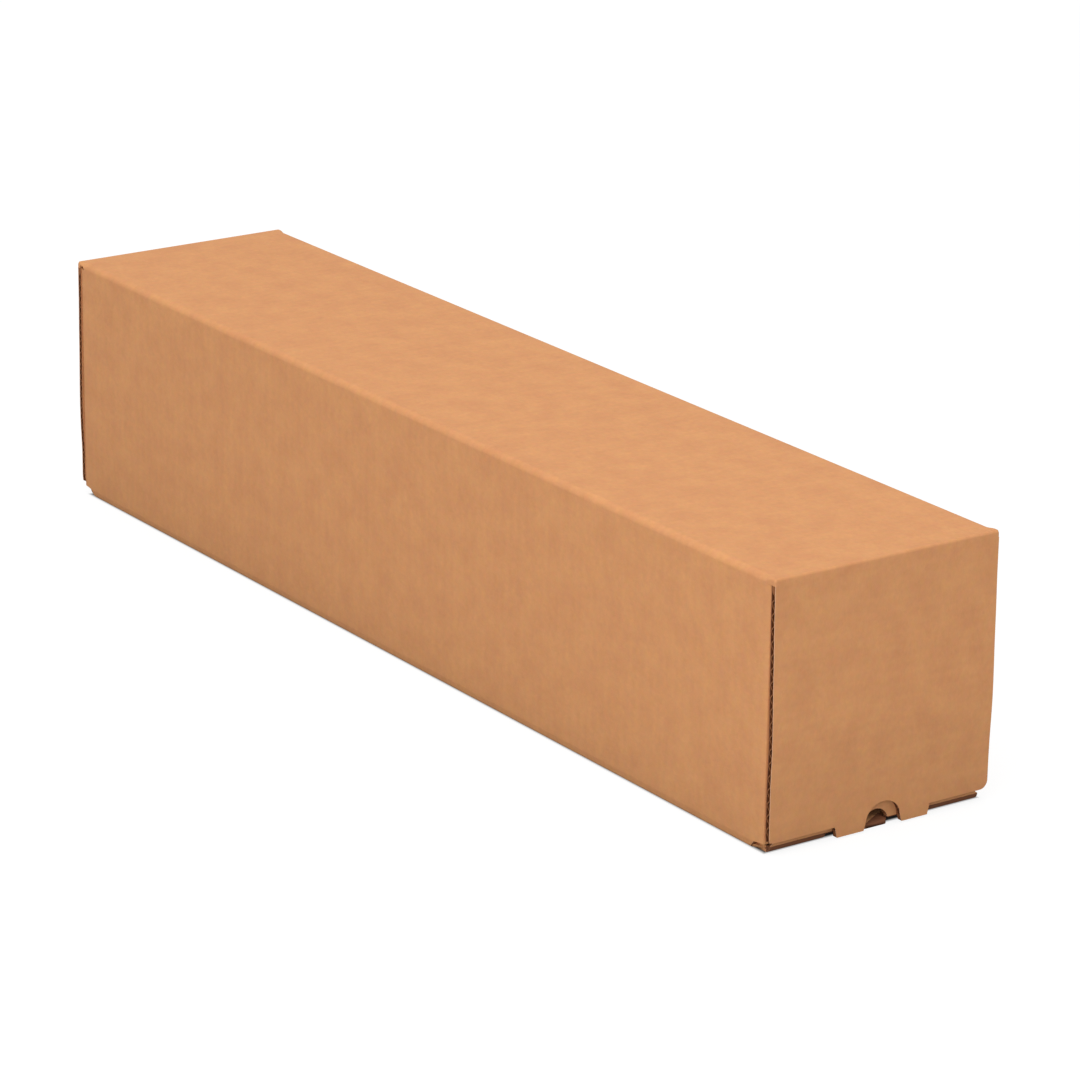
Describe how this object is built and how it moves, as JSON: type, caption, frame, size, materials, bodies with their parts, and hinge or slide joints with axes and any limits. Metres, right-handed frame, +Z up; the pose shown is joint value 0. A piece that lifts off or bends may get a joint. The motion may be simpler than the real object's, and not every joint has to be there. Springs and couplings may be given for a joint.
{
  "type": "square poster mailing tube",
  "caption": "Long square tube of brown corrugated board for rolled posters. Its ends close with a hinged outer flap with tabs and a thumb notch, over folded inner and dust flaps.",
  "frame": {"origin": "on the resting face of the bottom wall, under the middle of the tube", "axes": "+X along the tube towards its front end, +Z up"},
  "size_m": [0.6496, 0.133, 0.137],
  "materials": {
    "board": "matte"
  },
  "bodies": {
    "tube": {"tube_body": "board"},
    "front_flap": {"front_end_flap": "board"},
    "rear_flap": {"rear_end_flap": "board"}
  },
  "joints": [
    {"name": "front_flap_hinge", "type": "hinge", "parent": "tube", "child": "front_flap", "pos_m": [0.32328, 0, 0.13598], "axis": [0, -1, 0], "range_deg": [0, 170]},
    {"name": "rear_flap_hinge", "type": "hinge", "parent": "tube", "child": "rear_flap", "pos_m": [-0.32328, 0, 0.13598], "axis": [0, 1, 0], "range_deg": [0, 170]}
  ]
}
